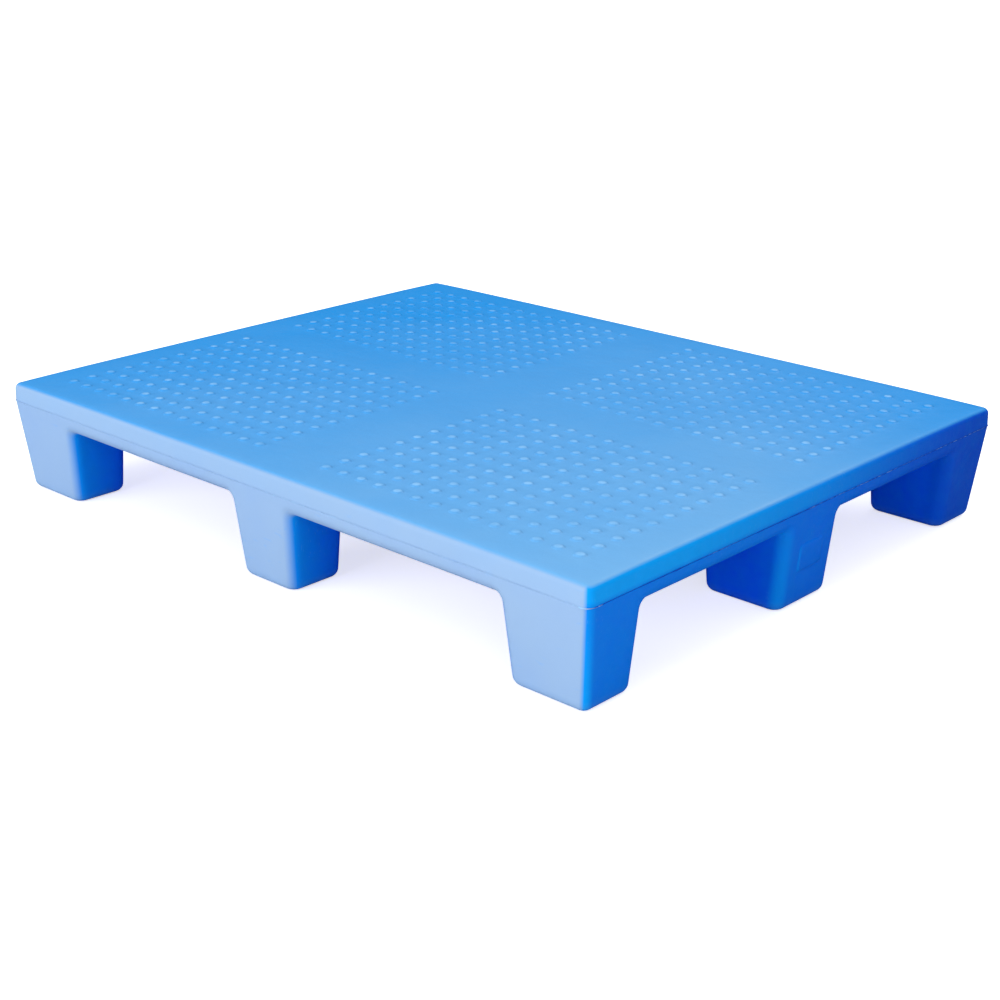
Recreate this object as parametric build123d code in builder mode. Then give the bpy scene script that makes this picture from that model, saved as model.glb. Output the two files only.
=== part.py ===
"""Closed-deck plastic pallet with nine hollow legs, 1000 x 800 x 150 mm.

The pallet is a double skin of polyethylene: a shallow deck shell and a base shell
with nine hollow legs, joined along a seam that runs round the rim. Inside are a
welded ladder of steel box tube and a rigid foam core. The foam goes in through
four holes in the underside, which are closed with push-in plugs.

Frame: X along the long side, Y along the short side, +Z up. The origin is on the
floor, under the middle of the pallet. Units are millimetres, and angles degrees.
"""

from build123d import *
from math import cos, radians, sin, tan
import os

# Overall size
length = 1000.0  # along X, at the seam
width = 800.0  # along Y, at the seam
height = 150.0  # floor to the tops of the grip studs

# Skin
wall = 5.5
stud_height = 2.0
deck_level = height - stud_height  # the smooth load face
rim_depth = 48.0  # load face to the underside of the deck
ceiling = deck_level - rim_depth  # underside of the deck, above the fork lanes
seam_level = deck_level - 25.0  # where the two shells meet
plan_radius = 11.0  # corners of the pallet, seen from above
deck_edge_radius = 8.0
deck_draft = 2.0  # skirt of the deck shell
base_draft = 5.6  # outer faces of the rim and legs

# Legs, measured at the ceiling. The fork lanes are what is left between them.
middle_leg_x = 108.0
middle_leg_y = 109.0
corner_leg_x = 125.0
corner_leg_y = 93.0
leg_draft_x = 4.5  # leg walls that face along X
leg_draft_y = 1.8  # leg walls that face along Y

# Rounding of the base shell
leg_edge_radius = 15.0  # upright leg edges inside the lanes
root_radius = 5.0  # where the legs run into the underside of the deck
lane_mouth_radius = 16.0  # edges of the lanes on the outer faces
foot_radius = 7.0

# Blank moulded pad on the outer face of one leg
pad_width = 46.0
pad_height = 34.0
pad_corner = 5.0
pad_depth = 1.0
pad_level = 62.0

# Grip studs: four panels with smooth bands between them
stud_radius = 6.0
stud_flank = 40.0
stud_pitch = 29.3
studs_along_x = 14
studs_along_y = 11
smooth_band_x = 118.0  # between the stud centres on either side of the middle
smooth_band_y = 99.0

# Steel ladder
tube_size = 25.0
tube_wall = 2.0
tube_corner = 3.0
rail_length = 940.0

# Foam core
foam_gap = 0.2  # left free between the foam and what it fills around

# Fill holes and their plugs
fill_hole_radius = 12.5
plug_seat_radius = 17.5
plug_head_radius = 17.0
plug_head_depth = 2.0
plug_shank_radius = 12.4
plug_barb_radius = 13.2
plug_tip_radius = 12.0
plug_bore_radius = 9.5
plug_length = 9.5

# Levels and places that follow from the sizes above
lane_width_x = length / 2 - corner_leg_x - middle_leg_x / 2
lane_width_y = width / 2 - corner_leg_y - middle_leg_y / 2
lane_x = (middle_leg_x + lane_width_x) / 2
lane_y = (middle_leg_y + lane_width_y) / 2
leg_column_x = (length - corner_leg_x) / 2
leg_row_y = (width - corner_leg_y) / 2
skin_floor = ceiling + wall  # upper face of the skin under the deck
tube_level = skin_floor + tube_size / 2
panel_x = smooth_band_x / 2 + stud_pitch * (studs_along_x - 1) / 2
panel_y = smooth_band_y / 2 + stud_pitch * (studs_along_y - 1) / 2


# Forms of the two shells. Each form is solid, and inset moves its faces inwards,
# so the same form gives the outside of a shell, its hollow and the foam.


def deck_form(inset=0.0):
    """Solid upper half: a shallow drafted slab with a rounded top edge."""
    side = inset / cos(radians(deck_draft))
    with BuildPart() as form:
        with BuildSketch(Plane.XY.offset(seam_level)):
            RectangleRounded(length - 2 * side, width - 2 * side, plan_radius - inset)
        extrude(amount=deck_level - inset - seam_level, taper=deck_draft)
        fillet(form.edges().group_by(Axis.Z)[-1], deck_edge_radius - inset)
    return form.part


def lane_profile(opening, draft, inset):
    """Section of a fork lane from the floor up, opening wide at the ceiling."""
    side = inset / cos(radians(draft))
    foot_opening = opening + 2 * ceiling * tan(radians(draft)) + 2 * side
    return Trapezoid(
        foot_opening, ceiling + inset, 90 - draft, align=(Align.CENTER, Align.MIN)
    )


def inner_leg_edges(form):
    """Upright edges between two lane walls."""
    upright = form.edges().filter_by(
        lambda edge: ceiling / 4 < edge.center().Z < ceiling * 3 / 4
    )
    return upright.filter_by(
        lambda edge: abs(edge.center().X) < leg_column_x + corner_leg_x / 4
        and abs(edge.center().Y) < leg_row_y + corner_leg_y / 4
    )


def root_edges(form, level, side):
    """Edges between the legs and the ceiling, without the rim's own lower edge."""
    at_ceiling = form.edges().filter_by(lambda edge: abs(edge.center().Z - level) < 0.01)
    return at_ceiling.filter_by(
        lambda edge: abs(edge.center().X) < length / 2 - side
        and abs(edge.center().Y) < width / 2 - side
    )


def lane_mouth_edges(form):
    """Outlines of the lanes on the four outer faces, from foot to foot."""
    mouths = ShapeList()
    for across, along, reach in (
        (Axis.X, Axis.Y, width / 2),
        (Axis.Y, Axis.X, length / 2),
    ):
        ordered = form.faces().sort_by(across)
        for face in (ordered[0], ordered[-1]):
            mouths += face.edges().filter_by(
                lambda edge: wall * 2 < edge.center().Z < seam_level - 1
                and abs(edge.center().dot(along.direction)) < reach - corner_leg_y / 2
            )
    return mouths


def base_form(inset=0.0):
    """Solid lower half: a drafted block, cut by four fork lanes, with nine legs left."""
    side = inset / cos(radians(base_draft))
    with BuildPart() as form:
        with BuildSketch(Plane.XY.offset(seam_level)):
            RectangleRounded(length - 2 * side, width - 2 * side, plan_radius - inset)
        extrude(amount=inset - seam_level, taper=base_draft)

        with BuildSketch(Plane.XZ):
            with Locations((-lane_x, 0), (lane_x, 0)):
                lane_profile(lane_width_x, leg_draft_x, inset)
        extrude(amount=width, both=True, mode=Mode.SUBTRACT)

        with BuildSketch(Plane.YZ):
            with Locations((-lane_y, 0), (lane_y, 0)):
                lane_profile(lane_width_y, leg_draft_y, inset)
        extrude(amount=length, both=True, mode=Mode.SUBTRACT)

        fillet(inner_leg_edges(form), leg_edge_radius - inset)
        fillet(root_edges(form, ceiling + inset, side + 5), root_radius + inset)
        fillet(lane_mouth_edges(form), lane_mouth_radius - inset)
        fillet(form.edges().group_by(Axis.Z)[0], foot_radius - inset)
    return form.part


def moulded_pad():
    """Plain raised pad on the outer face of the middle leg at +X."""
    lean = radians(base_draft)
    face_x = length / 2 - (seam_level - pad_level) * tan(lean)
    face = Plane(
        origin=(face_x, 0, pad_level), x_dir=(0, 1, 0), z_dir=(cos(lean), 0, -sin(lean))
    )
    with BuildPart() as pad:
        with BuildSketch(face.offset(-wall / 2)):
            RectangleRounded(pad_width, pad_height, pad_corner)
        extrude(amount=wall / 2 + pad_depth)
    return pad.part


# The pieces


def box_tube(plane, tube_length):
    """Square steel tube, centred on the plane's origin and running along its normal."""
    with BuildPart() as tube:
        with BuildSketch(plane):
            RectangleRounded(tube_size, tube_size, tube_corner)
            RectangleRounded(
                tube_size - 2 * tube_wall,
                tube_size - 2 * tube_wall,
                tube_corner - tube_wall,
                mode=Mode.SUBTRACT,
            )
        extrude(amount=tube_length / 2, both=True)
    return tube.part


def fill_plug(x, y):
    """Push-in plug: a flat head, and a hollow shank with a snap barb behind the skin."""
    section = Plane(origin=(x, y, ceiling), x_dir=(1, 0, 0), z_dir=(0, -1, 0))
    barb_level = wall + 0.7
    with BuildPart() as plug:
        with BuildSketch(section):
            with BuildLine():
                Polyline(
                    (0, 0),
                    (plug_head_radius, 0),
                    (plug_head_radius, plug_head_depth),
                    (plug_shank_radius, plug_head_depth),
                    (plug_shank_radius, wall + 0.2),
                    (plug_barb_radius, barb_level),
                    (plug_tip_radius, plug_length),
                    (plug_bore_radius, plug_length),
                    (plug_bore_radius, plug_head_depth),
                    (0, plug_head_depth),
                    close=True,
                )
            make_face()
        revolve(axis=Axis((x, y, 0), (0, 0, 1)))
    return plug.part


lane_crossings = [(x, y) for x in (-lane_x, lane_x) for y in (-lane_y, lane_y)]
deck_outside = deck_form()
deck_hollow = deck_form(wall)
base_outside = base_form()
base_hollow = base_form(wall)
blank_pad = moulded_pad()

# Deck shell, with the grip studs moulded in
with BuildPart() as deck_shell:
    add(deck_outside)
    add(deck_hollow, mode=Mode.SUBTRACT)
    with BuildSketch(Plane.XY.offset(deck_level)):
        with GridLocations(2 * panel_x, 2 * panel_y, 2, 2):
            with GridLocations(stud_pitch, stud_pitch, studs_along_x, studs_along_y):
                Circle(stud_radius)
    extrude(amount=stud_height, taper=stud_flank)

# Base shell: rim, underside of the deck and the nine hollow legs
with BuildPart() as base_shell:
    add(base_outside)
    add(base_hollow, mode=Mode.SUBTRACT)
    add(blank_pad)
    with BuildSketch(Plane.XY.offset(ceiling)):
        with Locations(*lane_crossings):
            Circle(fill_hole_radius)
    extrude(amount=wall, mode=Mode.SUBTRACT)
    with BuildSketch(Plane.XY.offset(ceiling)):
        with Locations(*lane_crossings):
            Circle(plug_seat_radius)
    extrude(amount=plug_head_depth, mode=Mode.SUBTRACT)

# Steel ladder: three rails along X over the rows of legs, and six cross tubes
ladder = {}
for row, side in (("front", -1), ("centre", 0), ("rear", 1)):
    middle = (0, side * leg_row_y, tube_level)
    ladder[f"{row}_rail"] = box_tube(Plane(middle, z_dir=(1, 0, 0)), rail_length)

cross_length = leg_row_y - tube_size
for row, side_y in (("front", -1), ("rear", 1)):
    for column, side_x in (("left", -1), ("middle", 0), ("right", 1)):
        middle = (side_x * leg_column_x, side_y * leg_row_y / 2, tube_level)
        tube = box_tube(Plane(middle, z_dir=(0, 1, 0)), cross_length)
        ladder[f"{row}_{column}_cross_tube"] = tube

# Rigid foam that fills the deck and the legs, around the ladder and the plugs
deck_space = deck_form(wall + foam_gap)
base_space = base_form(wall + foam_gap)
channel_size = tube_size + 2 * foam_gap
with BuildPart() as foam_core:
    add(deck_space)
    add(base_space)
    with Locations((0, 0, tube_level)):
        with GridLocations(0, leg_row_y, 1, 3):
            Box(rail_length + 2 * foam_gap, channel_size, channel_size, mode=Mode.SUBTRACT)
        with GridLocations(leg_column_x, 0, 3, 1):
            Box(channel_size, 2 * leg_row_y, channel_size, mode=Mode.SUBTRACT)
    with BuildSketch(Plane.XY.offset(skin_floor)):
        with Locations(*lane_crossings):
            Circle(plug_barb_radius + foam_gap)
    extrude(amount=plug_length - wall + foam_gap, mode=Mode.SUBTRACT)

pieces = {
    "deck_shell": deck_shell.part,
    "base_shell": base_shell.part,
    "foam_core": foam_core.part,
    **ladder,
    "front_left_fill_plug": fill_plug(-lane_x, -lane_y),
    "front_right_fill_plug": fill_plug(lane_x, -lane_y),
    "rear_left_fill_plug": fill_plug(-lane_x, lane_y),
    "rear_right_fill_plug": fill_plug(lane_x, lane_y),
}

os.makedirs("parts", exist_ok=True)
for name, piece in pieces.items():
    piece.label = name
    export_step(piece, f"parts/{name}.step")
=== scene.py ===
"""Looks of the blue nine-legged plastic pallet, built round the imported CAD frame.

The two shells are rebuilt here as clean meshes: the deck with a slight crown and its
moulded grip studs, and the base with soft blended edges. A ragged fin of flash runs round
the seam between them. The steel ladder, the foam core and the fill plugs keep their CAD
shapes and get materials. Sizes are in metres.
"""

import math

import bpy
import numpy as np
from mathutils import Euler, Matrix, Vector, noise


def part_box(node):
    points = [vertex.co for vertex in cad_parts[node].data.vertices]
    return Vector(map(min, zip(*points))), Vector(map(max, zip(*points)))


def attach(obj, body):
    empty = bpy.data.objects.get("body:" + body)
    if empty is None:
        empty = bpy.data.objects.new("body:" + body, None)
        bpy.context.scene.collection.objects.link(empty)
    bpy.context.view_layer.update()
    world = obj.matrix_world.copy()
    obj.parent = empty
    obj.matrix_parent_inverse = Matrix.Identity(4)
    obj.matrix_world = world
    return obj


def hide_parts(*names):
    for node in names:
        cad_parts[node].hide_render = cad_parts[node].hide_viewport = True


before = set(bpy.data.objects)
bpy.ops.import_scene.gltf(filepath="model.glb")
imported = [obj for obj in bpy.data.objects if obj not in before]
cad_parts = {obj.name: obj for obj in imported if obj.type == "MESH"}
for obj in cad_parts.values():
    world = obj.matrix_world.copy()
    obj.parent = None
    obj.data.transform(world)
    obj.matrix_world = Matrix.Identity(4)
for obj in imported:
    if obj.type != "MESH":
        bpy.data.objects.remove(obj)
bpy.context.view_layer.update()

MM = 0.001

# Sizes taken from the frame
DECK_LOW, DECK_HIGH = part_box("deck_shell")
HALF = (DECK_HIGH.x, DECK_HIGH.y)
SEAM_Z = DECK_LOW.z
STUD_HEIGHT = 2.0 * MM
DECK_Z = DECK_HIGH.z - STUD_HEIGHT

# Shell sizes, as in the CAD, except that the feet are rounder. Pairs are along X and along Y.
WALL = 5.5 * MM
CEILING_Z = DECK_Z - 48 * MM
PLAN_RADIUS = 11 * MM
DECK_EDGE_RADIUS = 8 * MM
DECK_DRAFT = math.radians(2.0)
BASE_DRAFT = math.radians(5.6)
MIDDLE_LEG = (108 * MM, 109 * MM)
CORNER_LEG = (125 * MM, 93 * MM)
LEG_DRAFT = (math.radians(4.5), math.radians(1.8))
LEG_EDGE_RADIUS = 15 * MM
ROOT_RADIUS = 5 * MM
LANE_MOUTH_RADIUS = 16 * MM
FOOT_RADIUS = 10 * MM

# Blank pad on the outer face of the middle leg at +X
PAD_HALF = (23 * MM, 17 * MM)
PAD_LEVEL = 62 * MM
PAD_DEPTH = 1 * MM
PAD_CORNER = 5 * MM
PAD_EDGE_RADIUS = 0.5 * MM
PAD_EDGE_LINES = (-1.8 * MM, -0.8 * MM, 0.0, 0.8 * MM, 1.8 * MM)

# Seats of the fill plugs, where the fork lanes cross
LANE_CROSSING = tuple(
    (half - corner + middle / 2) / 2
    for half, corner, middle in zip(HALF, CORNER_LEG, MIDDLE_LEG)
)
PLUG_SEAT_RADIUS = 17.5 * MM
PLUG_SEAT_DEPTH = 2 * MM
FILL_HOLE_RADIUS = 12.5 * MM
SEAT_BLOCK_HALF = 24 * MM
SEAT_BLOCK_CELLS = 8
SEAT_PROFILE = (  # radius, depth above the ceiling
    (PLUG_SEAT_RADIUS + 1.2 * MM, 0),
    (PLUG_SEAT_RADIUS + 0.2 * MM, 0.1 * MM),
    (PLUG_SEAT_RADIUS, 0.4 * MM),
    (PLUG_SEAT_RADIUS, PLUG_SEAT_DEPTH),
    (FILL_HOLE_RADIUS, PLUG_SEAT_DEPTH),
    (FILL_HOLE_RADIUS, WALL),
)

# Mesh of the base: close lines near every edge, and wide ones between
EDGE_REACH = 21 * MM
CLOSE_STEP = 3.5 * MM
WIDE_STEP = 18 * MM
WIDE_RISE = 14 * MM

# Grip studs
STUD_PITCH = 29.3 * MM
STUDS = (14, 11)
SMOOTH_BAND = (118 * MM, 99 * MM)
STUD_CELLS = 4
STUD_PROFILE = (  # radius, height above the deck
    (8.2 * MM, 0.0),
    (7.6 * MM, 0.10 * MM),
    (6.9 * MM, 0.42 * MM),
    (6.2 * MM, 0.85 * MM),
    (5.4 * MM, 1.30 * MM),
    (4.4 * MM, 1.68 * MM),
    (2.4 * MM, 1.94 * MM),
)

# Rings of the deck: between the studs and the edge, round the edge, and down the skirt
MARGIN_SHARES = (0.35, 0.7)
DECK_EDGE_STEPS = 6
SKIRT_SHARES = (0.3, 0.6, 0.85)
INNER_EDGE_INSETS = (0.9 * MM, 3 * MM)
LEAST_RADIUS = 1 * MM

# How far the moulding strays from flat
CROWN = 0.6 * MM
CORNER_DROOP = 1.5 * MM
DROOP_REACH = 70 * MM
WAVINESS = 0.30 * MM
WAVE_LENGTH = 160 * MM
SWELLING_REACH = 20 * MM

# Groove and flash at the seam
GROOVE_DEPTH = 0.4 * MM
GROOVE_HALF = 0.9 * MM
FLASH_STEP = 2.5 * MM
FLASH_ARC_STEPS = 8
FLASH_ROOT = 1.6 * MM
FLASH_PROUD = 1.3 * MM
FLASH_HALF = 0.35 * MM
FLASH_RAGGED_LENGTH = 14 * MM
FLASH_PATCH_LENGTH = 90 * MM
FLASH_WANDER = 0.3 * MM
FLASH_WANDER_LENGTH = 30 * MM
FLASH_TEAR = 2.5
FLASH_TEAR_REACH = 18 * MM
FLASH_SECTION = ((0, -1), (1, -0.3), (1, 0.3), (0, 1))  # share of reach, share of half height

# Colours, linear
# Painted shade: the deep blue of faces in shade under the deck and in the lanes
PAINTED_SHADE_BLUE = (0.0, 0.12, 1.0, 1)
# Painted light: the lighter blue of outer faces lit from the front
PAINTED_LIT_BLUE = (0.0, 0.185, 0.87, 1)
# Painted highlight on the rim, the front right corner edge and the lane mouths
PAINTED_HIGHLIGHT_BLUE = (0.001, 0.36, 1.0, 1)
# Painted shade towards the rear of the end faces
PAINTED_REAR_SHADE_BLUE = (0.0, 0.05, 0.45, 1)
DECK_BLUE = (0.0, 0.29, 0.79, 1)
# Painted sheen on the load face
PAINTED_DECK_SHEEN = (0.15, 0.43, 0.80, 1)
# Painted sheen: pale haze on the side at -Y that faces the key light, and on its flash
PAINTED_SHEEN_BLUE = (0.31, 0.47, 0.71, 1)
SCUFF_BLUE = (0.16, 0.42, 0.85, 1)
# Painted shade on the studs' sides
STUD_SHADE = (0.05, 0.28, 0.62, 1)
# Painted highlight on the stud tops
PAINTED_STUD_HIGHLIGHT = (0.27, 0.58, 0.95, 1)
# Painted shade on the seam's flash, for the shadow line under the seam
SEAM_SHADE = (0.0, 0.07, 0.55, 1)
FLASH_PALE = (0.35, 0.62, 0.90, 1)
PLUG_BLUES = ((0.004, 0.10, 0.42, 1), (0.008, 0.15, 0.55, 1))
ZINC_GREYS = ((0.42, 0.44, 0.46, 1), (0.66, 0.68, 0.70, 1))
ZINC_STAIN = (0.30, 0.29, 0.27, 1)
FOAM_CREAMS = ((0.62, 0.50, 0.24, 1), (0.78, 0.68, 0.42, 1))
FOAM_CELL = (0.42, 0.32, 0.13, 1)
BLACK = (0, 0, 0, 1)
WHITE = (1, 1, 1, 1)

# Where the shells' blue changes: the place where a change begins, and where it is complete.
# Front is at -Y and right is at +X, as in the names of the CAD nodes.
END_FACES = (0.46, 0.49)  # along X, from the middle
SIDE_FACES = (0.31, 0.395)  # along Y, from the middle
RIGHT_FACES = (0.465, 0.475)  # along X
REAR_TO_FRONT = (0.38, -0.15)  # along Y
RIM_REAR_TO_FRONT = (0.30, -0.25)  # along Y
MIDDLE_TO_REAR = (0.0, 0.36)  # along Y
SHEEN_SIDE = (-0.30, -0.36)  # along Y
SHEEN_FLASH = (-0.388, -0.398)  # along Y
RIM_LEVELS = (SEAM_Z - 2 * MM, SEAM_Z + 6 * MM)
DECK_LEVELS = (SEAM_Z, SEAM_Z + 4 * MM)
CORNER_EDGE_LEVELS = (120 * MM, 20 * MM)
FOOT_WEAR_LEVELS = (14 * MM, 2 * MM)
SHEEN_LEAN = 0.6
SHEEN_REACH = (-0.55, 0.75)  # X - SHEEN_LEAN * Y
SHEEN_END = (0.40, 0.85)  # X + Y
TORN_CORNER = (0.87, 0.89)  # X - Y

# How far a face turns towards a direction, as a cosine, where a change begins and is complete
FRONT_RIGHT_WAY = (0.7, -0.7, 0)
CORNER_EDGE_TURN = (0.72, 0.98)
LANE_MOUTH_TURN = (0.1, 0.7)
UPRIGHT_TURN = (0.95, 0.75)  # away from straight down
DECK_TURN = (0.60, 0.92)
SHEEN_TURNS = (0.45, 0.78)  # where it begins, on most faces and on the right ones
SHEEN_TURN_FULL = 0.97

# How strong each change is, as a share of the new colour
CORNER_EDGE_SHARES = (0.4, 0.9)  # at the rim, at the foot
LANE_MOUTH_SHARE = 0.6
REAR_SHARE = 0.6
CLOUD_SHARE = 0.16
SHEEN_SHARES = (0.88, 1.0)
SHEEN_SWING = 0.18
WEAR_SHARE = 0.3
SLOPE_SHARE = 0.03
STUD_HIGHLIGHT_SHARE = 0.75
PALE_RUN_SHARE = 0.5

# Noises of the shells: cycles to the metre, detail and roughness
CLOUD = (5.5, 4, 0.55)
MOTTLE = (60, 3, 0.6)
GRAIN = (900, 2)
SCRATCHES = (42, 2, 0.5)
SCRATCH_STRETCH = (1, 14, 3)
SCUFF_PATCHES = (9, 3)

# Studio. The sky's pairs are heights of the view and the strengths of light there.
SKY_RISE = (0.20, 0.55)
SKY_FILL = (0.12, 1.0)
SKY_GLOSS_RISE = (0.26, 0.45)
SKY_GLOSS = (0.0, 1.5)
FLOOR_BOUNCE = 0.78
FLOOR_GLOSS = 0.0
FLOOR_GLOW_REACH = (0.7, 2.2)
FLOOR_GLOW = (0.68, 1.0)
FLOOR_SIZE = 40
FLOOR_LEVEL = -0.05 * MM
CAMERA_PLACE = (1.474, -1.583, 0.809)
CAMERA_AZIMUTH = math.radians(42.69)
CAMERA_ELEVATION = math.radians(20.51)
CAMERA_ROLL = math.radians(0.265)
CAMERA_LENS = 62.46
CAMERA_SENSOR = 36
LIGHTS = (  # name, place, target, size, power
    ("key", (-0.6, -3.3, 1.2), (0, -0.2, 0.05), (3.0, 1.6), 74),
    ("rim", (0.1, 2.7, 2.6), (0.1, 0, 0.1), (2.2, 1.2), 36),
    ("near", (1.35, -0.95, 0.55), (0.45, -0.3, 0.08), (0.6, 0.5), 2.5),
)


# Shape functions


def rounded_meet(a, b, radius):
    """Signed distance to the overlap of two solids, with a round edge between them."""
    outside_a = np.maximum(radius + a, 0)
    outside_b = np.maximum(radius + b, 0)
    return np.minimum(-radius, np.maximum(a, b)) + np.hypot(outside_a, outside_b)


def rounded_join(a, b, radius):
    """Signed distance to two solids together, with a round fillet between them."""
    return -rounded_meet(-a, -b, radius)


def leg_band(position, axis, below_ceiling):
    """Signed distance, along one axis, to the strips of plan that hold legs."""
    lean = math.tan(LEG_DRAFT[axis]) * below_ceiling
    to_middle = position - (MIDDLE_LEG[axis] / 2 - lean)
    to_corner = (HALF[axis] - CORNER_LEG[axis] + lean) - position
    return np.minimum(to_middle, to_corner) * math.cos(LEG_DRAFT[axis])


def side_lean(z):
    """How far the outer faces of the base have drawn in at a height below the seam."""
    return (SEAM_Z - z) * math.tan(BASE_DRAFT)


def body_distance(points):
    """Signed distance to the outside of the base shell, taken as solid."""
    x, y, z = np.abs(points[:, 0]), np.abs(points[:, 1]), points[:, 2]
    below = CEILING_Z - z
    legs = rounded_meet(leg_band(x, 0, below), leg_band(y, 1, below), LEG_EDGE_RADIUS)
    body = rounded_join(below, legs, ROOT_RADIUS)
    lean = side_lean(z)
    sides = rounded_meet(x - HALF[0] + lean, y - HALF[1] + lean, PLAN_RADIUS)
    body = rounded_meet(body, sides * math.cos(BASE_DRAFT), LANE_MOUTH_RADIUS)
    return rounded_meet(body, -z, FOOT_RADIUS)


def pad_distance(points):
    """Signed distance to the blank raised pad."""
    across = np.abs(points[:, 1]) - PAD_HALF[0]
    upright = np.abs(points[:, 2] - PAD_LEVEL) - PAD_HALF[1]
    outline = rounded_meet(across, upright, PAD_CORNER)
    proud = points[:, 0] - HALF[0] + side_lean(points[:, 2])
    return rounded_meet(outline, np.abs(proud) - PAD_DEPTH, PAD_EDGE_RADIUS)


def base_distance(points):
    """Signed distance to the outside of the base shell with its pad."""
    return rounded_join(body_distance(points), pad_distance(points), PAD_EDGE_RADIUS)


def gradient(points, step=0.02 * MM):
    """Direction in which the base's distance grows, by central differences."""
    slopes = []
    for axis in range(3):
        offset = np.zeros(3)
        offset[axis] = step
        slopes.append(base_distance(points + offset) - base_distance(points - offset))
    return np.stack(slopes, axis=1) / (2 * step)


def pull_to_base(points, level, rounds=6):
    """Moves points straight onto the base's surface. Level ones keep their height."""
    for _ in range(rounds):
        slope = gradient(points)
        slope[level, 2] = 0
        steepness = np.maximum((slope**2).sum(axis=1), 1e-6)
        points = points - (base_distance(points) / steepness)[:, None] * slope
    return points


def waves(points, seed):
    """Slow random swelling at each point, between about -1 and 1."""
    shift = Vector((7.3, 3.1, 5.7)) * seed
    return np.array([noise.noise(Vector(p) / WAVE_LENGTH + shift) for p in points])


# Mesh helpers


class Sheet:
    """Points and faces that grow into one mesh."""

    def __init__(self):
        self.points = []
        self.faces = []

    def add(self, points):
        """Adds points and returns their numbers."""
        first = len(self.points)
        self.points.extend([float(value) for value in p] for p in points)
        return list(range(first, first + len(points)))

    def band(self, first_ring, second_ring):
        """Quads between two closed rings. They face the way that turns left in the first."""
        count = len(first_ring)
        for n in range(count):
            m = (n + 1) % count
            quad = (first_ring[n], first_ring[m], second_ring[m], second_ring[n])
            self.faces.append(quad)

    def cap(self, ring_numbers, centre):
        """Triangles from a ring to a middle point."""
        (tip,) = self.add([centre])
        for n, number in enumerate(ring_numbers):
            self.faces.append((number, ring_numbers[(n + 1) % len(ring_numbers)], tip))

    def as_object(self, name):
        """The mesh object, without unused points."""
        used = sorted({n for face in self.faces for n in face})
        new_number = {old: new for new, old in enumerate(used)}
        points = [self.points[n] for n in used]
        faces = [[new_number[n] for n in face] for face in self.faces]
        mesh = bpy.data.meshes.new(name)
        mesh.from_pydata(points, [], faces)
        mesh.polygons.foreach_set("use_smooth", [True] * len(faces))
        mesh.update()
        obj = bpy.data.objects.new(name, mesh)
        bpy.context.scene.collection.objects.link(obj)
        return obj


def circle(centre, radius, z, count):
    """Points anticlockwise round a circle, from its lower left."""
    turns = -0.75 * math.pi + 2 * math.pi * np.arange(count) / count
    return [
        (centre[0] + radius * math.cos(t), centre[1] + radius * math.sin(t), z)
        for t in turns
    ]


def block_outline(i0, j0, i1, j1):
    """Index pairs anticlockwise round a block of a grid, from its lower left."""
    path = [(i, j0) for i in range(i0, i1)]
    path += [(i1, j) for j in range(j0, j1)]
    path += [(i, j1) for i in range(i1, i0, -1)]
    path += [(i0, j) for j in range(j1, j0, -1)]
    return path


def spaced(low, high, step):
    """Even positions from low to high, at most a step apart."""
    count = max(1, math.ceil((high - low) / step - 1e-6))
    return np.linspace(low, high, count + 1)


# Base shell


def leg_walls(axis, z):
    """Wall positions along one axis at a height, from the low side to the high side."""
    outer = HALF[axis] - side_lean(z)
    lean = math.tan(LEG_DRAFT[axis]) * max(CEILING_Z - z, 0)
    inner = HALF[axis] - CORNER_LEG[axis] + lean
    middle = MIDDLE_LEG[axis] / 2 - lean
    return [-outer, -inner, -middle, middle, inner, outer]


def graded(stops, fine_stops, reach, fine, coarse):
    """Positions from the first stop to the last, close together near the fine stops."""
    marks = set(stops)
    for stop in fine_stops:
        marks.update(m for m in (stop - reach, stop + reach) if stops[0] < m < stops[-1])
    marks = sorted(marks)
    lines = [stops[0]]
    for low, high in zip(marks, marks[1:]):
        near = min(abs((low + high) / 2 - stop) for stop in fine_stops) < reach
        lines += list(spaced(low, high, fine if near else coarse)[1:])
    return np.array(lines)


def with_block(lines, block):
    """The lines with a given run of lines in place of any that are close to it."""
    gap = (block[1] - block[0]) / 2
    clear = (lines < block[0] - gap) | (lines > block[-1] + gap)
    return np.sort(np.concatenate([lines[clear], block]))


def with_pad_edges(lines, centre, half):
    """The lines with close ones at both edges of the blank pad."""
    for side in (-1, 1):
        lines = with_block(lines, centre + side * half + np.array(PAD_EDGE_LINES))
    return lines


def base_lines():
    """Lattice lines of the base along X, Y and Z, at the ceiling's scale."""
    lines = []
    for axis in (0, 1):
        stops = leg_walls(axis, CEILING_Z)
        stops[0], stops[-1] = -HALF[axis], HALF[axis]
        row = graded(stops, stops, EDGE_REACH, CLOSE_STEP, WIDE_STEP)
        for side in (-1, 1):
            cells = SEAT_BLOCK_CELLS + 1
            block = np.linspace(-SEAT_BLOCK_HALF, SEAT_BLOCK_HALF, cells)
            row = with_block(row, side * LANE_CROSSING[axis] + block)
        lines.append(row)
    lines[1] = with_pad_edges(lines[1], 0, PAD_HALF[0])
    stops = [0, CEILING_Z, SEAM_Z]
    levels = graded(stops, stops[:2], EDGE_REACH, CLOSE_STEP, WIDE_RISE)
    levels = with_pad_edges(levels, PAD_LEVEL, PAD_HALF[1])
    lines.append(np.sort(np.append(levels, SEAM_Z - GROOVE_HALF)))
    return lines


def solid_cells(lines):
    """Which lattice cells are plastic: all above the ceiling, and the legs below it."""
    in_leg = []
    for axis in (0, 1):
        middles = np.abs(lines[axis][1:] + lines[axis][:-1]) / 2
        inner = HALF[axis] - CORNER_LEG[axis]
        in_leg.append((middles < MIDDLE_LEG[axis] / 2) | (middles > inner))
    above = (lines[2][1:] + lines[2][:-1]) / 2 > CEILING_Z
    return in_leg[0][:, None, None] & in_leg[1][None, :, None] | above[None, None, :]


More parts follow.
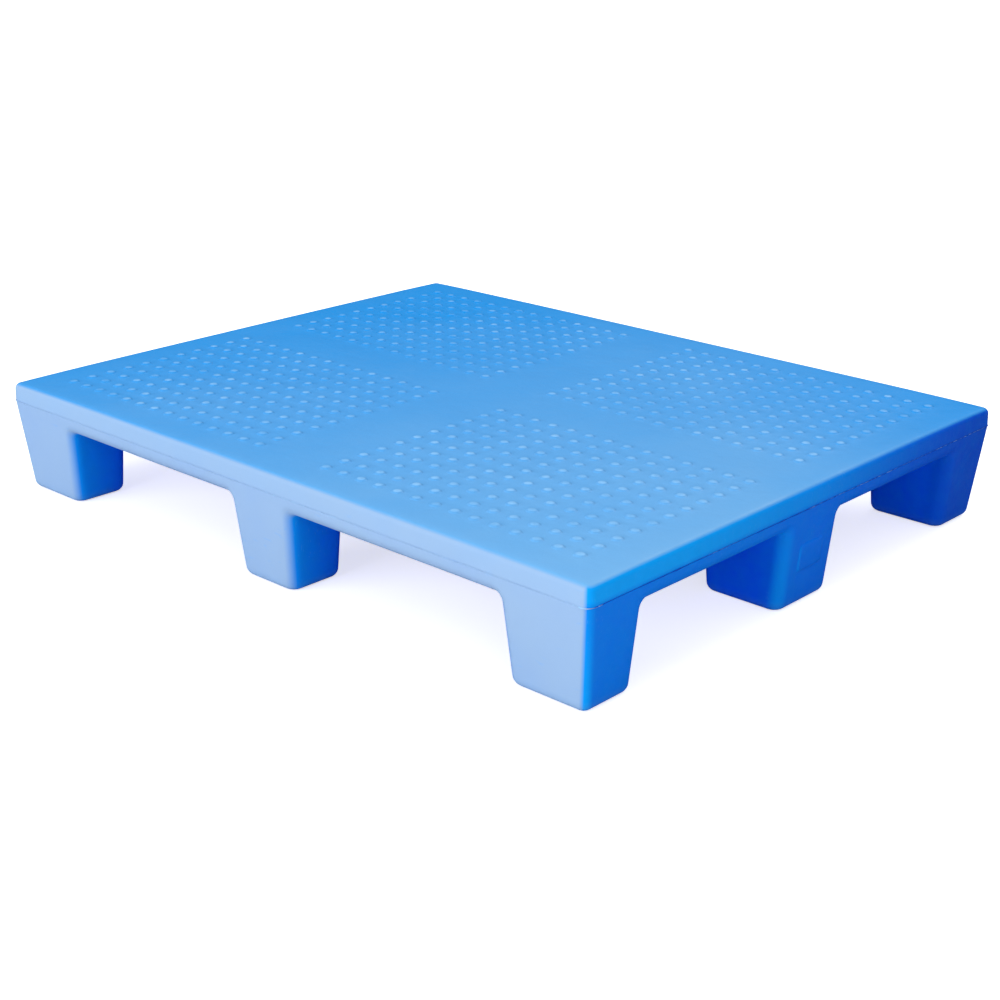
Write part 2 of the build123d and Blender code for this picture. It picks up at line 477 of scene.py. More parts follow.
def outer_quads(solid):
    """Outward quads, as lattice indices, between plastic and air, with the top open."""
    padded = np.pad(solid, 1).astype(int)
    quads = []
    for axis in range(3):
        b, c = (axis + 1) % 3, (axis + 2) % 3
        change = -np.diff(padded, axis=axis)
        for sign in (1, -1):
            cells = np.argwhere(change == sign)
            corners = []
            for step_b, step_c in ((0, 0), (1, 0), (1, 1), (0, 1))[::sign]:
                corner = cells.copy()
                corner[:, b] += step_b - 1
                corner[:, c] += step_c - 1
                corners.append(corner)
            quads.append(np.stack(corners, axis=1))
    quads = np.concatenate(quads)
    top = (quads[:, :, 2] == solid.shape[2]).all(axis=1)
    return quads[~top]


def in_seat_block(quads, lines):
    """Which quads lie on the ceiling in the square block round a plug seat."""
    inside = np.isclose(lines[2][quads[:, :, 2]], CEILING_Z).all(axis=1)
    for axis in (0, 1):
        position = np.abs(lines[axis][quads[:, :, axis]])
        offset = np.abs(position - LANE_CROSSING[axis])
        inside &= (offset < SEAT_BLOCK_HALF + 0.01 * MM).all(axis=1)
    return inside


def lattice_places(indices, lines):
    """Places of lattice points, with the walls leaned to their draft."""
    points = np.zeros((len(indices), 3))
    points[:, 2] = lines[2][indices[:, 2]]
    for level in np.unique(indices[:, 2]):
        here = indices[:, 2] == level
        for axis in (0, 1):
            upright = leg_walls(axis, CEILING_Z)
            upright[0], upright[-1] = -HALF[axis], HALF[axis]
            leaned = leg_walls(axis, lines[2][level])
            nominal = lines[axis][indices[here, axis]]
            points[here, axis] = np.interp(nominal, upright, leaned)
    return points


def rim_edges(faces):
    """Directed edges that belong to one face only."""
    edges = np.concatenate([faces[:, [n, (n + 1) % 4]] for n in range(4)])
    present = {tuple(edge) for edge in edges.tolist()}
    return [(a, b) for a, b in present if (b, a) not in present]


def even_out(points, faces, movable, level, rounds=4, share=0.35):
    """Evens the spacing of the movable points, keeping them on the surface."""
    edges = np.concatenate([faces[:, [n, (n + 1) % 4]] for n in range(4)])
    degree = np.bincount(edges[:, 0], minlength=len(points))[:, None]
    for _ in range(rounds):
        total = np.zeros_like(points)
        np.add.at(total, edges[:, 0], points[edges[:, 1]])
        moved = points + share * (total / np.maximum(degree, 1) - points)
        points = np.where(movable[:, None], moved, points)
        points = pull_to_base(points, level, 3)
    return points


def open_seats(sheet, lines, number_of, shift):
    """Fills each block with a stepped round hole through the outer and inner skins."""
    level = int(np.argmin(np.abs(lines[2] - CEILING_Z)))
    count = 4 * SEAT_BLOCK_CELLS
    for side_x in (-1, 1):
        for side_y in (-1, 1):
            centre = (side_x * LANE_CROSSING[0], side_y * LANE_CROSSING[1])
            i, j = (
                int(np.argmin(np.abs(lines[axis] - centre[axis] + SEAT_BLOCK_HALF)))
                for axis in (0, 1)
            )
            path = block_outline(i, j, i + SEAT_BLOCK_CELLS, j + SEAT_BLOCK_CELLS)
            outer = [number_of[a, b, level] for a, b in path]
            inner = [n + shift for n in outer]
            for radius, depth in SEAT_PROFILE:
                deeper = sheet.add(circle(centre, radius, CEILING_Z + depth, count))
                sheet.band(deeper, outer)
                outer = deeper
            sheet.band(inner, outer)


def build_base():
    """Base shell: outer skin, inner skin one wall inside it, and the edge at the seam."""
    lines = base_lines()
    quads = outer_quads(solid_cells(lines))
    quads = quads[~in_seat_block(quads, lines)]
    indices, numbers = np.unique(quads.reshape(-1, 3), axis=0, return_inverse=True)
    faces = numbers.reshape(-1, 4)
    at_seam = indices[:, 2] == len(lines[2]) - 1

    rims = rim_edges(faces)
    movable = np.ones(len(indices), bool)
    movable[list({n for edge in rims for n in edge})] = False
    points = pull_to_base(lattice_places(indices, lines), at_seam)
    points = even_out(points, faces, movable, at_seam)

    normals = gradient(points)
    normals[at_seam, 2] = 0
    normals /= np.linalg.norm(normals, axis=1)[:, None]
    settled = np.minimum(points[:, 2], SEAM_Z - points[:, 2]) / SWELLING_REACH
    swelling = WAVINESS * waves(points, 1) * np.clip(settled, 0, 1)
    swelling[~movable] = 0
    points += swelling[:, None] * normals
    inner = points - WALL * normals
    points[at_seam] -= GROOVE_DEPTH * normals[at_seam]

    sheet = Sheet()
    sheet.add(points)
    sheet.add(inner)
    shift = len(points)
    sheet.faces += faces.tolist()
    sheet.faces += (faces[:, ::-1] + shift).tolist()
    for a, b in rims:
        if at_seam[a] and at_seam[b]:
            sheet.faces.append((b, a, a + shift, b + shift))
    number_of = {tuple(index): n for n, index in enumerate(indices.tolist())}
    open_seats(sheet, lines, number_of, shift)
    return sheet.as_object("base_moulding")


# Deck shell


def deck_level(x, y):
    """Height of the smooth deck: a little crowned, with drooping corners."""
    u, v = abs(x) / HALF[0], abs(y) / HALF[1]
    to_corner = math.hypot(HALF[0] - abs(x), HALF[1] - abs(y))
    droop = CORNER_DROOP * math.exp(-to_corner / DROOP_REACH)
    wave = WAVINESS * noise.noise(Vector((x, y, 0)) / WAVE_LENGTH)
    return DECK_Z - CROWN * (u**2 + v**2) / 2 - droop + min(wave, 0)


def deck_lines(axis):
    """Grid lines of the deck along one axis, in step with the stud cells."""
    step = STUD_PITCH / STUD_CELLS
    low = SMOOTH_BAND[axis] / 2 - STUD_PITCH / 2
    high = low + STUDS[axis] * STUD_PITCH
    panel = spaced(low, high, step)
    return np.concatenate([-panel[::-1], spaced(-low, low, step)[1:-1], panel])


def deck_outline(inset, counts, arc_steps=4):
    """Points anticlockwise round the deck's plan at an inset, from the lower left corner."""
    radius = max(PLAN_RADIUS - inset, LEAST_RADIUS)
    core = (HALF[0] - inset - radius, HALF[1] - inset - radius)
    corners = [(-1, -1), (1, -1), (1, 1), (-1, 1)]
    path = []
    for n in range(4):
        start = [c * s for c, s in zip(core, corners[n])]
        end = [c * s for c, s in zip(core, corners[(n + 1) % 4])]
        count = counts[n % 2]
        for m in range(count):
            turn = min(m, arc_steps) + max(m - count + arc_steps, 0)
            angle = math.radians(225 + 90 * n + 45 * turn / arc_steps)
            along = min(max((m - arc_steps) / (count - 2 * arc_steps), 0), 1)
            x = start[0] + (end[0] - start[0]) * along + radius * math.cos(angle)
            y = start[1] + (end[1] - start[1]) * along + radius * math.sin(angle)
            path.append((x, y))
    return path


def add_stud(sheet, centre, outline):
    """One moulded stud in its square cell."""
    for radius, rise in STUD_PROFILE:
        points = circle(centre, radius, 0, 4 * STUD_CELLS)
        points = [(x, y, deck_level(*centre) + rise) for x, y, _ in points]
        higher = sheet.add(points)
        sheet.band(outline, higher)
        outline = higher
    sheet.cap(outline, (*centre, deck_level(*centre) + STUD_HEIGHT))


def stud_starts(lines, axis):
    """Where the stud cells start along a row of deck grid lines."""
    panel = STUDS[axis] * STUD_CELLS
    first_panel = list(range(0, panel, STUD_CELLS))
    return first_panel + [len(lines) - 1 - panel + start for start in first_panel]


def deck_top(sheet, xs, ys):
    """The studded part of the deck. Returns the numbers round its edge."""
    grid = [sheet.add([(x, y, deck_level(x, y)) for y in ys]) for x in xs]
    starts = (stud_starts(xs, 0), stud_starts(ys, 1))
    covered = [{start + n for start in row for n in range(STUD_CELLS)} for row in starts]
    for i in range(len(xs) - 1):
        for j in range(len(ys) - 1):
            if i in covered[0] and j in covered[1]:
                continue
            corners = (grid[i][j], grid[i + 1][j], grid[i + 1][j + 1], grid[i][j + 1])
            sheet.faces.append(corners)
    for i in starts[0]:
        for j in starts[1]:
            path = block_outline(i, j, i + STUD_CELLS, j + STUD_CELLS)
            centre = ((xs[i] + xs[i + STUD_CELLS]) / 2, (ys[j] + ys[j + STUD_CELLS]) / 2)
            add_stud(sheet, centre, [grid[a][b] for a, b in path])
    return [grid[a][b] for a, b in block_outline(0, 0, len(xs) - 1, len(ys) - 1)]


def deck_side_profile():
    """Inset and drop of each ring from the top's edge down to the seam."""
    skirt = DECK_Z - DECK_EDGE_RADIUS - SEAM_Z
    profile = []
    for n in range(DECK_EDGE_STEPS + 1):
        turn = math.radians(90 * n / DECK_EDGE_STEPS)
        inset = skirt * math.tan(DECK_DRAFT) + DECK_EDGE_RADIUS * (1 - math.sin(turn))
        profile.append((inset, DECK_EDGE_RADIUS * (1 - math.cos(turn))))
    for share in SKIRT_SHARES:
        drop = DECK_EDGE_RADIUS + share * (skirt - GROOVE_HALF)
        profile.append(((DECK_Z - drop - SEAM_Z) * math.tan(DECK_DRAFT), drop))
    profile.append((0, DECK_Z - SEAM_Z - GROOVE_HALF))
    profile.append((GROOVE_DEPTH, DECK_Z - SEAM_Z))
    return profile


def mark_raised(mesh):
    """Stores how far each point stands above the smooth deck, as a share of a stud."""
    raised = mesh.attributes.new("raised", "FLOAT", "POINT")
    for point, value in zip(mesh.vertices, raised.data):
        x, y, z = point.co
        value.value = min(max((z - deck_level(x, y)) / STUD_HEIGHT, 0), 1)


def build_deck():
    """Deck shell: studded top, rounded edge, skirt down to the seam, and inner skin."""
    sheet = Sheet()
    xs, ys = deck_lines(0), deck_lines(1)
    counts = (len(xs) - 1, len(ys) - 1)
    rim = deck_top(sheet, xs, ys)
    profile = deck_side_profile()

    edge = deck_outline(profile[0][0], counts)
    rim_points = [sheet.points[n] for n in rim]
    ring = rim
    for share in MARGIN_SHARES:
        places = [
            (p[0] + share * (q[0] - p[0]), p[1] + share * (q[1] - p[1]))
            for p, q in zip(rim_points, edge)
        ]
        further = sheet.add([(x, y, deck_level(x, y)) for x, y in places])
        sheet.band(further, ring)
        ring = further
    for inset, drop in profile:
        places = deck_outline(inset, counts)
        share = 1 - drop / (DECK_Z - SEAM_Z)
        sag = [share * (DECK_Z - deck_level(x, y)) for x, y in edge]
        heights = [DECK_Z - drop - s for s in sag]
        further = sheet.add([(*place, z) for place, z in zip(places, heights)])
        sheet.band(further, ring)
        ring = further

    inner_top = DECK_Z - WALL
    inner_levels = (SEAM_Z, inner_top - (DECK_EDGE_RADIUS - WALL), inner_top)
    for inset, z in zip((0, *INNER_EDGE_INSETS), inner_levels):
        further = sheet.add([(x, y, z) for x, y in deck_outline(WALL + inset, counts)])
        sheet.band(further, ring)
        ring = further
    grid = [sheet.add([(x, y, inner_top) for y in ys]) for x in xs]
    for i in range(counts[0]):
        for j in range(counts[1]):
            corners = (grid[i][j], grid[i][j + 1], grid[i + 1][j + 1], grid[i + 1][j])
            sheet.faces.append(corners)
    sheet.band([grid[a][b] for a, b in block_outline(0, 0, *counts)], ring)
    deck = sheet.as_object("deck_moulding")
    mark_raised(deck.data)
    return deck


# Flash at the seam


def flash_shape(x, y):
    """How far the fin stands proud at a place on the seam, and half its thickness."""
    ragged = 0.5 + noise.noise(Vector((x, y, 0)) / FLASH_RAGGED_LENGTH)
    patchy = 0.5 + noise.noise(Vector((x, y, 9)) / FLASH_PATCH_LENGTH)
    proud = FLASH_PROUD * np.clip(ragged, 0.1, 1) * np.clip(patchy, 0.25, 1)
    to_front_right = math.hypot(x - HALF[0], y + HALF[1])
    torn = 1 + FLASH_TEAR * math.exp(-to_front_right / FLASH_TEAR_REACH)
    return proud * torn, FLASH_HALF * (torn * ragged + 1 - ragged)


def straight_out(x, y):
    """Level direction out of the pallet at a place near the edge of its plan."""
    core = (HALF[0] - PLAN_RADIUS, HALF[1] - PLAN_RADIUS)
    nearest = (np.clip(x, -core[0], core[0]), np.clip(y, -core[1], core[1]))
    return (Vector((x, y)) - Vector(nearest)).normalized()


def build_flash():
    """A thin ragged fin of plastic round the seam, where the mould halves meet."""
    corner_arc = math.pi / 2 * PLAN_RADIUS
    lengths = (2 * (HALF[0] - PLAN_RADIUS), 2 * (HALF[1] - PLAN_RADIUS))
    counts = [int((length + corner_arc) / FLASH_STEP) for length in lengths]
    root = deck_outline(FLASH_ROOT, counts, FLASH_ARC_STEPS)
    sheet = Sheet()
    rings = []
    for reach, rise in FLASH_SECTION:
        points = []
        for x, y in root:
            proud, half = flash_shape(x, y)
            outward = straight_out(x, y) * reach * (FLASH_ROOT + proud)
            wander = FLASH_WANDER * noise.noise(Vector((x, y, 4)) / FLASH_WANDER_LENGTH)
            points.append((x + outward.x, y + outward.y, SEAM_Z + wander + rise * half))
        rings.append(sheet.add(points))
    for n in range(len(rings)):
        sheet.band(rings[n], rings[(n + 1) % len(rings)])
    return sheet.as_object("seam_flash")


# Materials


class Shader:
    """A node material under construction, with short helpers for common nodes."""

    def __init__(self, name):
        self.material = bpy.data.materials.new(name)
        self.material.use_nodes = True
        self.tree = self.material.node_tree
        self.tree.nodes.clear()
        self.surface = self.node("ShaderNodeBsdfPrincipled")
        self.output = self.node("ShaderNodeOutputMaterial")
        self.feed(self.output.inputs["Surface"], self.surface.outputs["BSDF"])
        geometry = self.node("ShaderNodeNewGeometry")
        self.place = geometry.outputs["Position"]
        self.normal = geometry.outputs["Normal"]
        self.from_behind = geometry.outputs["Backfacing"]
        self.x, self.y, self.z = self.parts(self.place)

    def node(self, kind, **settings):
        """A new node with the given settings."""
        made = self.tree.nodes.new(kind)
        for key, value in settings.items():
            setattr(made, key, value)
        return made

    def feed(self, socket, value):
        """Links or sets an input."""
        if isinstance(value, bpy.types.NodeSocket):
            self.tree.links.new(value, socket)
        else:
            socket.default_value = value

    def parts(self, vector):
        """The X, Y and Z of a vector."""
        made = self.node("ShaderNodeSeparateXYZ")
        self.feed(made.inputs["Vector"], vector)
        return list(made.outputs)

    def noise(self, scale, detail=3, roughness=0.5, place=None):
        """Noise over the object, about 0.5. Scale is in cycles to the metre."""
        made = self.node("ShaderNodeTexNoise")
        self.feed(made.inputs["Vector"], place or self.place)
        self.feed(made.inputs["Scale"], scale)
        self.feed(made.inputs["Detail"], detail)
        self.feed(made.inputs["Roughness"], roughness)
        return made.outputs["Fac"]

    def vector_maths(self, operation, a, b=(0, 0, 0), output="Vector"):
        """Arithmetic on one or two vectors."""
        made = self.node("ShaderNodeVectorMath", operation=operation)
        self.feed(made.inputs[0], a)
        self.feed(made.inputs[1], b)
        return made.outputs[output]

    def cells(self, scale):
        """Distance to the nearest of a scatter of points."""
        made = self.node("ShaderNodeTexVoronoi")
        self.feed(made.inputs["Vector"], self.place)
        self.feed(made.inputs["Scale"], scale)
        return made.outputs["Distance"]

    def ramp(self, value, low, high, out_low=0.0, out_high=1.0):
        """Maps low..high to out_low..out_high, clamped."""
        made = self.node("ShaderNodeMapRange")
        self.feed(made.inputs["Value"], value)
        self.feed(made.inputs["From Min"], low)
        self.feed(made.inputs["From Max"], high)
        self.feed(made.inputs["To Min"], out_low)
        self.feed(made.inputs["To Max"], out_high)
        return made.outputs["Result"]

    def maths(self, operation, a, b):
        """Arithmetic on two values."""
        made = self.node("ShaderNodeMath", operation=operation)
        self.feed(made.inputs[0], a)
        self.feed(made.inputs[1], b)
        return made.outputs["Value"]

    def mix(self, share, a, b):
        """Colour a, turning to b as share goes from 0 to 1."""
        made = self.node("ShaderNodeMix", data_type="RGBA")
        self.feed(made.inputs["Factor"], share)
        self.feed(made.inputs["A"], a)
        self.feed(made.inputs["B"], b)
        return made.outputs["Result"]

    def times(self, *factors):
        """The product of some values."""
        product = factors[0]
        for factor in factors[1:]:
            product = self.maths("MULTIPLY", product, factor)
        return product

    def largest(self, *values):
        """The largest of some values."""
        result = values[0]
        for value in values[1:]:
            result = self.maths("MAXIMUM", result, value)
        return result

    def facing(self, direction, low, high, normal=None):
        """0 to 1 as the surface turns to face a direction."""
        turn = self.vector_maths("DOT_PRODUCT", normal or self.normal, direction, "Value")
        return self.ramp(turn, low, high)

    def plan_facing(self, direction, low, high):
        """0 to 1 as the surface, seen from above, turns to face a level direction."""
        flat = self.vector_maths("MULTIPLY", self.normal, (1, 1, 0))
        return self.facing(direction, low, high, self.vector_maths("NORMALIZE", flat))

    def bumps(self, *layers):
        """Stacks bump layers of (height, distance)."""
        normal = None
        for value, distance in layers:
            made = self.node("ShaderNodeBump")
            self.feed(made.inputs["Height"], value)
            made.inputs["Distance"].default_value = distance
            if normal:
                self.feed(made.inputs["Normal"], normal)
            normal = made.outputs["Normal"]
        self.feed(self.surface.inputs["Normal"], normal)

    def set(self, **inputs):
        """Feeds the surface's inputs, named with _ for space."""
        for key, value in inputs.items():
            self.feed(self.surface.inputs[key.replace("_", " ")], value)


def lit_and_shaded_blue(shader, cloud, mottle, upright):
    """Painted light and shade on the shells: deep blue in shade, lighter on the outer faces lit
    from the front, a painted highlight on the rim, the front right corner edge and the lane
    mouths, painted shade towards the rear of the end faces, and random cloudy tone.
    """
    on_ends = shader.ramp(shader.maths("ABSOLUTE", shader.x, 0), *END_FACES)
    on_sides = shader.ramp(shader.maths("ABSOLUTE", shader.y, 0), *SIDE_FACES)
    frontness = shader.ramp(shader.y, *REAR_TO_FRONT)
    exposed = shader.times(shader.largest(on_ends, on_sides), frontness)
    # Painted light: outer faces lit from the front get the lighter blue, the rest the painted
    # shade blue
    colour = shader.mix(exposed, PAINTED_SHADE_BLUE, PAINTED_LIT_BLUE)

    on_rim = shader.ramp(shader.z, *RIM_LEVELS)
    on_right = shader.ramp(shader.x, *RIGHT_FACES)
    corner_edge = shader.times(
        on_right,
        shader.plan_facing(FRONT_RIGHT_WAY, *CORNER_EDGE_TURN),
        shader.ramp(shader.z, *CORNER_EDGE_LEVELS, *CORNER_EDGE_SHARES),
    )
    lane_mouth = shader.times(
        on_sides,
        shader.plan_facing((1, 0, 0), *LANE_MOUTH_TURN),
        upright,
        shader.ramp(on_right, 0, 1, LANE_MOUTH_SHARE, 0),
    )
    # Painted highlight on the rim, the front right corner edge and the lane mouths, fading
    # towards the rear
    lighter = shader.largest(on_rim, corner_edge, lane_mouth)
    lighter = shader.times(lighter, shader.ramp(shader.y, *RIM_REAR_TO_FRONT))
    colour = shader.mix(lighter, colour, PAINTED_HIGHLIGHT_BLUE)

    # Painted shade: the end faces darken towards the rear
    towards_rear = shader.times(on_ends, shader.ramp(shader.y, *MIDDLE_TO_REAR, 0, REAR_SHARE))
    colour = shader.mix(towards_rear, colour, PAINTED_REAR_SHADE_BLUE)
    cloudy = shader.ramp(shader.times(cloud, mottle), 0.12, 0.36, 0, CLOUD_SHARE)
    return shader.mix(cloudy, colour, DECK_BLUE)


def sheen_on_front_side(shader, cloud, upright):
    """Share of painted sheen: the side at -Y, to the middle of its rounded corners, broken up
    by the cloudy noise.
    """
    outside = shader.ramp(shader.y, *SHEEN_SIDE)
    on_right = shader.ramp(shader.x, *RIGHT_FACES)
    turn_begin = shader.ramp(on_right, 0, 1, *SHEEN_TURNS)
    side = shader.plan_facing((0, -1, 0), turn_begin, SHEEN_TURN_FULL)
    return shader.times(side, outside, upright, shader.ramp(cloud, 0.3, 0.7, *SHEEN_SHARES))


def load_face(shader, raised):
    """1 on the load face and its studs, and 0 elsewhere."""
    up = shader.facing((0, 0, 1), *DECK_TURN)
    above = shader.ramp(shader.z, *DECK_LEVELS)
    return shader.largest(shader.times(up, above), shader.ramp(raised, 0, 0.04))


def deck_with_painted_sheen(shader, cloud):
    """Colour of the load face with a painted sheen: palest at the front right, none at the rear
    right, broken up by the cloudy noise.
    """
    to_front_right = shader.maths("SUBTRACT", shader.x, shader.times(shader.y, SHEEN_LEAN))
    to_rear_right = shader.maths("ADD", shader.x, shader.y)
    sheen = shader.ramp(to_front_right, *SHEEN_REACH)
    sheen = shader.maths("ADD", sheen, shader.ramp(cloud, 0, 1, -SHEEN_SWING, SHEEN_SWING))
    sheen = shader.times(sheen, shader.ramp(to_rear_right, *SHEEN_END, 1, 0))
    return shader.mix(sheen, DECK_BLUE, PAINTED_DECK_SHEEN)


def worn_places(shader, mottle):
    """How worn the surface is: scuffs in patches, and worn feet."""
    stretched = shader.vector_maths("MULTIPLY", shader.place, SCRATCH_STRETCH)
    scuffs = shader.ramp(shader.noise(*SCRATCHES, stretched), 0.64, 0.74)
    patches = shader.ramp(shader.noise(*SCUFF_PATCHES), 0.48, 0.66)
    near_floor = shader.ramp(shader.z, *FOOT_WEAR_LEVELS)
    return shader.largest(shader.times(scuffs, patches), shader.times(near_floor, mottle))


def studs_with_painted_light(shader, colour, raised, cloud, mottle):
    """The colour with painted shade on the studs' sides and a painted highlight on their tops.
    """
    half_way_up = shader.maths("PINGPONG", raised, 0.5)
    shaded = shader.ramp(half_way_up, 0.05, 0.25, 0, SLOPE_SHARE)
    colour = shader.mix(shaded, colour, STUD_SHADE)
    # Painted highlight on the stud tops, broken up by the noises
    top_highlight = shader.times(
        shader.ramp(raised, 0.62, 0.92, 0, STUD_HIGHLIGHT_SHARE),
        shader.ramp(mottle, 0.35, 0.60, 0.35, 1),
        shader.ramp(cloud, 0.38, 0.58, 0.45, 1),
    )
    return shader.mix(top_highlight, colour, PAINTED_STUD_HIGHLIGHT)


def moulded_blue(name):
    """Rotomoulded polyethylene: cloudy blue with fine orange peel and scuffs, with painted
    light and shade: lit and shaded blues, painted highlights, painted shade, and a painted
    sheen on the load face and the side at -Y.
    """
    shader = Shader(name)
    cloud = shader.noise(*CLOUD)
    mottle = shader.noise(*MOTTLE)
    grain = shader.noise(*GRAIN)
    raised = shader.node("ShaderNodeAttribute", attribute_name="raised").outputs["Fac"]
    upright = shader.facing((0, 0, -1), *UPRIGHT_TURN)
    on_deck = load_face(shader, raised)
    worn = worn_places(shader, mottle)

    colour = lit_and_shaded_blue(shader, cloud, mottle, upright)
    # Painted sheen on the side at -Y
    colour = shader.mix(sheen_on_front_side(shader, cloud, upright), colour, PAINTED_SHEEN_BLUE)
    # Painted sheen on the load face
    colour = shader.mix(on_deck, colour, deck_with_painted_sheen(shader, cloud))
    colour = shader.mix(shader.times(worn, WEAR_SHARE), colour, SCUFF_BLUE)
    # Painted shade on the studs' sides and painted highlights on their tops
    colour = studs_with_painted_light(shader, colour, raised, cloud, mottle)

    rough = shader.ramp(shader.noise(24, 3), 0.3, 0.7, 0.36, 0.48)
    rough = shader.maths("ADD", rough, shader.times(worn, 0.1))
    gloss = shader.ramp(on_deck, 0, 1, 0.065, 0.11)
    shader.set(Base_Color=colour, Roughness=rough, Specular_IOR_Level=gloss)
    shader.bumps((cloud, 2.5 * MM), (mottle, 0.5 * MM), (grain, 0.06 * MM))
    return shader.material


def flash_blue():
    """The thin fin at the seam: stretched plastic, paler in bits, with painted shade on it and
    a painted sheen where it runs along the side at -Y.
    """
    shader = Shader("flash_blue")
    bits = shader.ramp(shader.noise(160, 3), 0.45, 0.62)
    runs = shader.ramp(shader.noise(7, 2), 0.5, 0.62, 0, PALE_RUN_SHARE)
    to_corner = shader.maths("SUBTRACT", shader.x, shader.y)
    torn = shader.ramp(to_corner, *TORN_CORNER)
    pale = shader.times(bits, shader.largest(runs, torn))
    # Painted shade on the fin, and painted sheen along the side at -Y
    colour = shader.mix(shader.ramp(shader.y, *SHEEN_FLASH), SEAM_SHADE, PAINTED_SHEEN_BLUE)
    shader.set(Base_Color=shader.mix(pale, colour, FLASH_PALE), Specular_IOR_Level=0.1)
    shader.set(Roughness=shader.ramp(bits, 0, 1, 0.45, 0.6))
    shader.bumps((shader.noise(500), 0.3 * MM))
    return shader.material


def plug_plastic():
    """Pressed-in fill plugs: a smoother, darker blue than the shells."""
    shader = Shader("plug_plastic")
    cloud = shader.noise(40, 3)
    turned = shader.noise(700, 2)
    shader.set(Base_Color=shader.mix(cloud, *PLUG_BLUES))
    shader.set(Roughness=shader.ramp(turned, 0.3, 0.7, 0.32, 0.5))
    shader.bumps((cloud, 0.4 * MM), (turned, 0.05 * MM))
    return shader.material


def galvanised_steel():
    """Hot-dip zinc: spangled grey with a dull shine and a few dull stains."""
    shader = Shader("galvanised_steel")
    spangle = shader.cells(120)
    stain = shader.ramp(shader.noise(18, 4), 0.52, 0.7)
    colour = shader.mix(spangle, *ZINC_GREYS)
    colour = shader.mix(shader.times(stain, 0.5), colour, ZINC_STAIN)
    shader.set(Base_Color=colour, Metallic=0.9)
    shader.set(Roughness=shader.ramp(shader.noise(220, 3), 0.3, 0.7, 0.38, 0.6))
    shader.bumps((spangle, 0.15 * MM), (shader.noise(600), 0.08 * MM))
    return shader.material


def rigid_foam():
    """Poured polyurethane: cream, darker in patches, with fine open cells."""
    shader = Shader("rigid_foam")
    cell = shader.cells(450)
    patch = shader.noise(12, 4)
    colour = shader.mix(patch, *FOAM_CREAMS)
    colour = shader.mix(shader.ramp(cell, 0.2, 0.6), FOAM_CELL, colour)
    shader.set(Base_Color=colour)
    shader.set(Roughness=shader.ramp(shader.noise(90), 0.3, 0.7, 0.75, 0.95))
    shader.bumps((cell, 0.8 * MM), (patch, 1.5 * MM))
    return shader.material


def studio_floor():
    """Plain floor: pale round the object and white further off, and dimmer to other rays."""
    shader = Shader("studio_floor")
    path = shader.node("ShaderNodeLightPath")
    away = shader.vector_maths("LENGTH", shader.place, output="Value")
    glow = shader.times(
        shader.ramp(away, *FLOOR_GLOW_REACH, *FLOOR_GLOW), path.outputs["Is Camera Ray"]
    )
    shade = shader.ramp(path.outputs["Is Glossy Ray"], 0, 1, FLOOR_BOUNCE, FLOOR_GLOSS)
    shader.set(Base_Color=shader.mix(shade, BLACK, WHITE), Roughness=0.9)
    shader.set(Emission_Color=WHITE, Emission_Strength=glow, Specular_IOR_Level=0.0)

    # Clear from below, so that the underside of the pallet can be looked at
    both = shader.node("ShaderNodeMixShader")
    shader.feed(both.inputs[0], shader.from_behind)
    shader.feed(both.inputs[1], shader.surface.outputs["BSDF"])
    shader.feed(both.inputs[2], shader.node("ShaderNodeBsdfTransparent").outputs["BSDF"])
    shader.feed(shader.output.inputs["Surface"], both.outputs["Shader"])
    return shader.material


def give(obj, material):
    """Puts one material on every face of an object."""
    obj.data.materials.clear()
    obj.data.materials.append(material)


# Studio


def soft_light(name, place, target, size, power):
    """A rectangular area light that looks at a target."""
    data = bpy.data.lights.new(name, "AREA")
    data.shape = "RECTANGLE"
    data.size, data.size_y = size
    data.energy = power
    lamp = bpy.data.objects.new(name, data)
    bpy.context.scene.collection.objects.link(lamp)
    lamp.location = place
    towards = Vector(target) - lamp.location
    lamp.rotation_euler = towards.to_track_quat("-Z", "Y").to_euler()


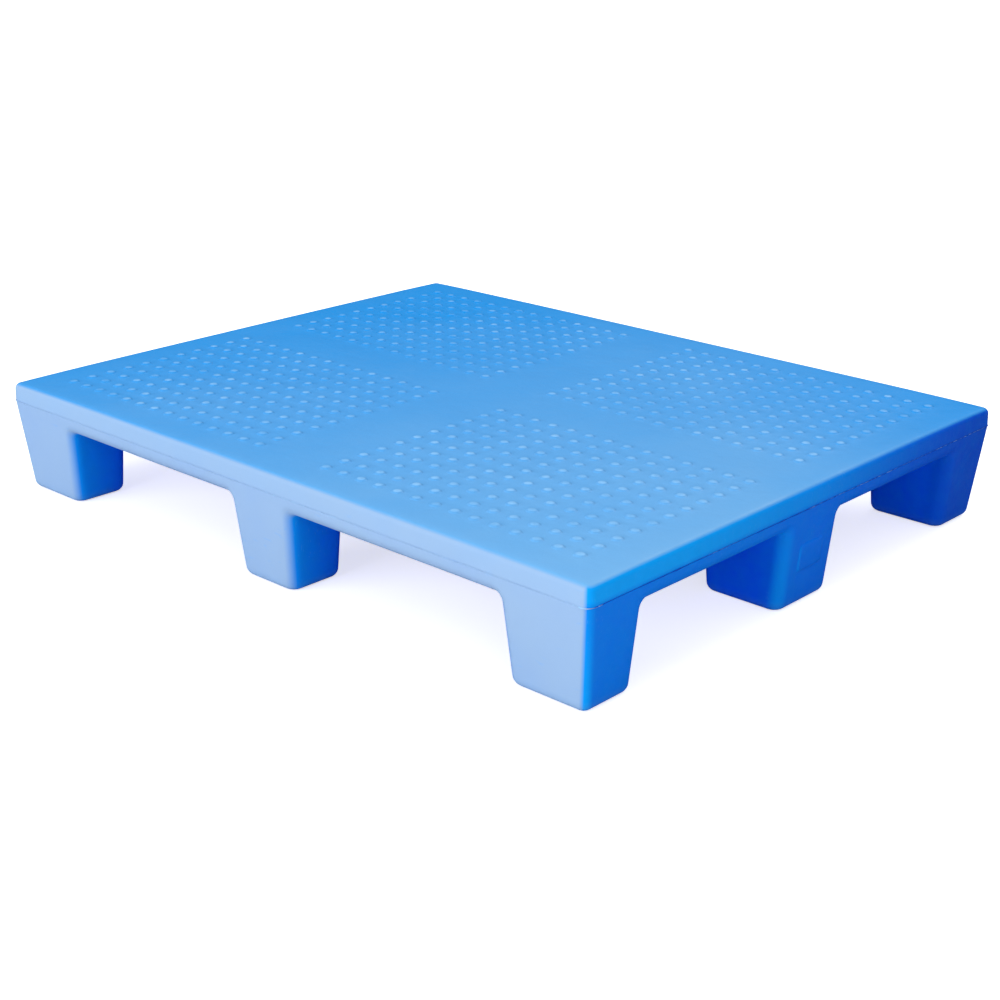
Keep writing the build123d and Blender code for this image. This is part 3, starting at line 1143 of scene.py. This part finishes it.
def build_world():
    """White to the camera. To the object, bright overhead and dim near the horizon."""
    world = bpy.data.worlds.new("studio")
    bpy.context.scene.world = world
    world.use_nodes = True
    tree = world.node_tree
    tree.nodes.clear()
    path = tree.nodes.new("ShaderNodeLightPath")
    way = tree.nodes.new("ShaderNodeTexCoord")
    split = tree.nodes.new("ShaderNodeSeparateXYZ")
    tree.links.new(way.outputs["Generated"], split.inputs["Vector"])

    def sky(limits):
        """Light that changes with height between the given limits."""
        rise = tree.nodes.new("ShaderNodeMapRange")
        for name, value in zip(("From Min", "From Max", "To Min", "To Max"), limits):
            rise.inputs[name].default_value = value
        tree.links.new(split.outputs["Z"], rise.inputs["Value"])
        light = tree.nodes.new("ShaderNodeBackground")
        tree.links.new(rise.outputs["Result"], light.inputs["Strength"])
        return light.outputs[0]

    def choose(ray, otherwise, shown):
        """One light for a kind of ray, and another for the rest."""
        mix = tree.nodes.new("ShaderNodeMixShader")
        tree.links.new(path.outputs[ray], mix.inputs[0])
        tree.links.new(otherwise, mix.inputs[1])
        tree.links.new(shown, mix.inputs[2])
        return mix.outputs[0]

    white = tree.nodes.new("ShaderNodeBackground")
    white.inputs["Color"].default_value = WHITE
    fill = sky(SKY_RISE + SKY_FILL)
    to_object = choose("Is Glossy Ray", fill, sky(SKY_GLOSS_RISE + SKY_GLOSS))
    output = tree.nodes.new("ShaderNodeOutputWorld")
    seen = choose("Is Camera Ray", to_object, white.outputs[0])
    tree.links.new(seen, output.inputs["Surface"])


def build_floor(material):
    """A wide plain floor just under the feet."""
    bpy.ops.mesh.primitive_plane_add(size=FLOOR_SIZE, location=(0, 0, FLOOR_LEVEL))
    floor = bpy.context.object
    floor.name = "studio_floor"
    give(floor, material)


def build_camera():
    """Camera at the photo's viewing angle."""
    data = bpy.data.cameras.new("camera")
    data.sensor_width = CAMERA_SENSOR
    data.lens = CAMERA_LENS
    camera = bpy.data.objects.new("camera", data)
    bpy.context.scene.collection.objects.link(camera)
    level_part = math.cos(CAMERA_ELEVATION)
    back = Vector(
        (
            math.sin(CAMERA_AZIMUTH) * level_part,
            -math.cos(CAMERA_AZIMUTH) * level_part,
            math.sin(CAMERA_ELEVATION),
        )
    )
    camera.location = CAMERA_PLACE
    level = back.to_track_quat("Z", "Y")
    camera.rotation_euler = (level @ Euler((0, 0, CAMERA_ROLL)).to_quaternion()).to_euler()
    bpy.context.scene.camera = camera


# Build the visual model

skin_blue = moulded_blue("skin_blue")

deck = build_deck()
give(deck, skin_blue)
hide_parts("deck_shell")
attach(deck, "root")

base = build_base()
give(base, skin_blue)
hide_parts("base_shell")
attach(base, "root")

flash = build_flash()
give(flash, flash_blue())
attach(flash, "root")

steel = galvanised_steel()
plug_blue = plug_plastic()
foam = rigid_foam()
for name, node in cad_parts.items():
    if name.endswith("_rail") or name.endswith("_tube"):
        give(node, steel)
    elif name.endswith("_plug"):
        give(node, plug_blue)
    elif name == "foam_core":
        give(node, foam)

build_world()
build_floor(studio_floor())
build_camera()
for light in LIGHTS:
    soft_light(*light)
bpy.context.scene.view_settings.view_transform = "Standard"
